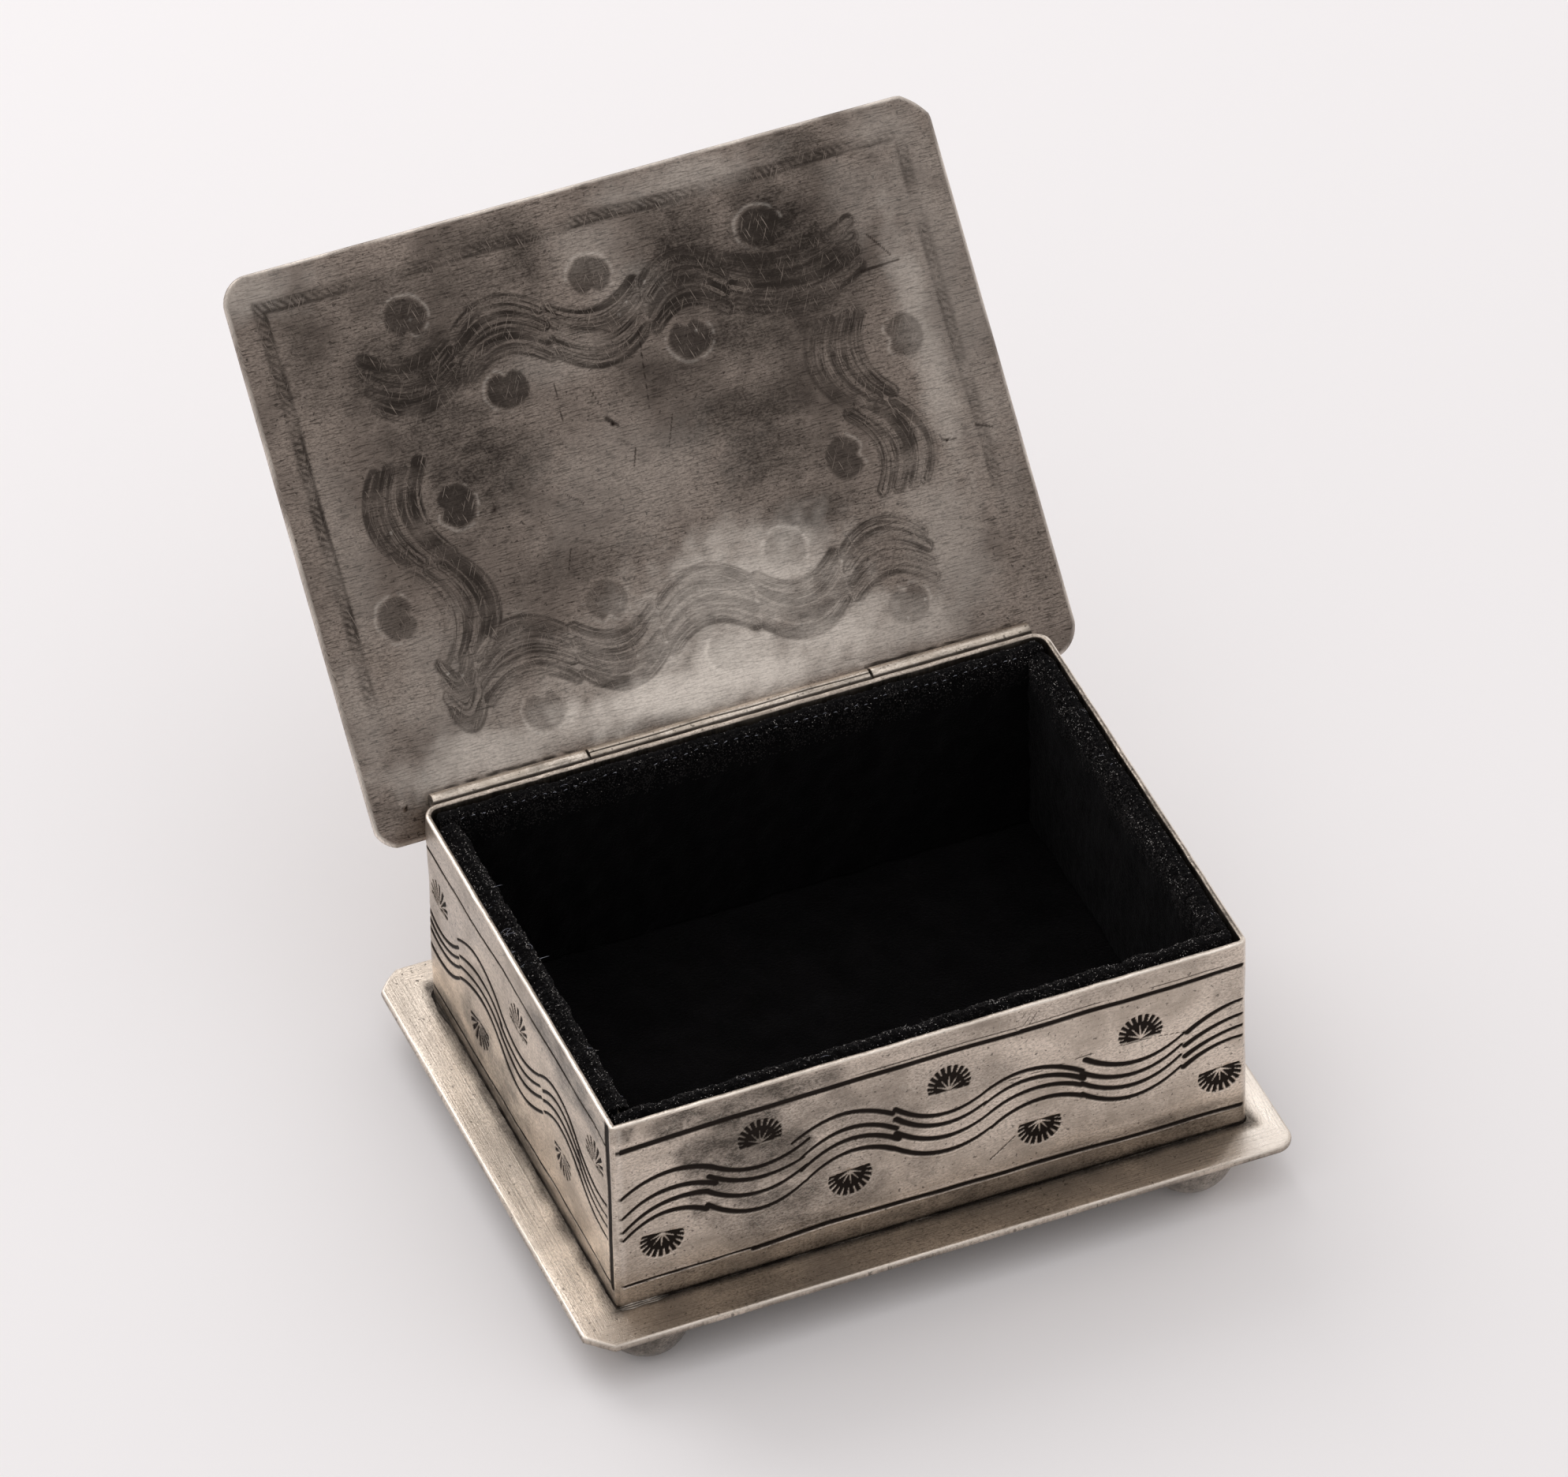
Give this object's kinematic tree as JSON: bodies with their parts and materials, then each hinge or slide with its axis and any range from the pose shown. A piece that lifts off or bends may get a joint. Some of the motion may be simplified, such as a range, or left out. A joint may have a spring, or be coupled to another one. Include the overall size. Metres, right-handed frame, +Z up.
{
  "type": "hinged keepsake box",
  "caption": "Stamped silver keepsake box with a rear-hinged lid, a footed base plate and a black velvet lining, shown with the lid leaning open.",
  "frame": {"origin": "on the standing surface, under the middle of the outline of the box with its lid open", "axes": "+Z up, +Y from the decorated front towards the hinge, +X to the right seen from the front"},
  "size_m": [0.102, 0.129, 0.0908],
  "materials": {
    "silver": "hand-worked silver, tarnished, with dark oxide in the stamping",
    "dark_silver": "tarnished silver",
    "velvet": "short black pile",
    "card": "plain grey board"
  },
  "bodies": {
    "box": {"body_wall": "silver", "base_plate": "silver", "foot_front_left": "dark_silver", "foot_front_right": "dark_silver", "foot_back_left": "dark_silver", "foot_back_right": "dark_silver", "body_knuckle": "silver", "hinge_pin": "dark_silver", "floor_card": "card", "floor_velvet": "velvet", "front_velvet": "velvet", "front_card": "card", "right_velvet": "velvet", "right_card": "card", "back_velvet": "velvet", "back_card": "card", "left_velvet": "velvet", "left_card": "card"},
    "lid": {"lid_panel": "silver", "lid_knuckle_left": "silver", "lid_knuckle_right": "silver"}
  },
  "joints": [
    {"name": "lid_hinge", "type": "hinge", "parent": "box", "child": "lid", "pos_m": [0.0002, 0.01149, 0.03825], "axis": [1, 0, 0], "range_deg": [0, 133.2]}
  ]
}
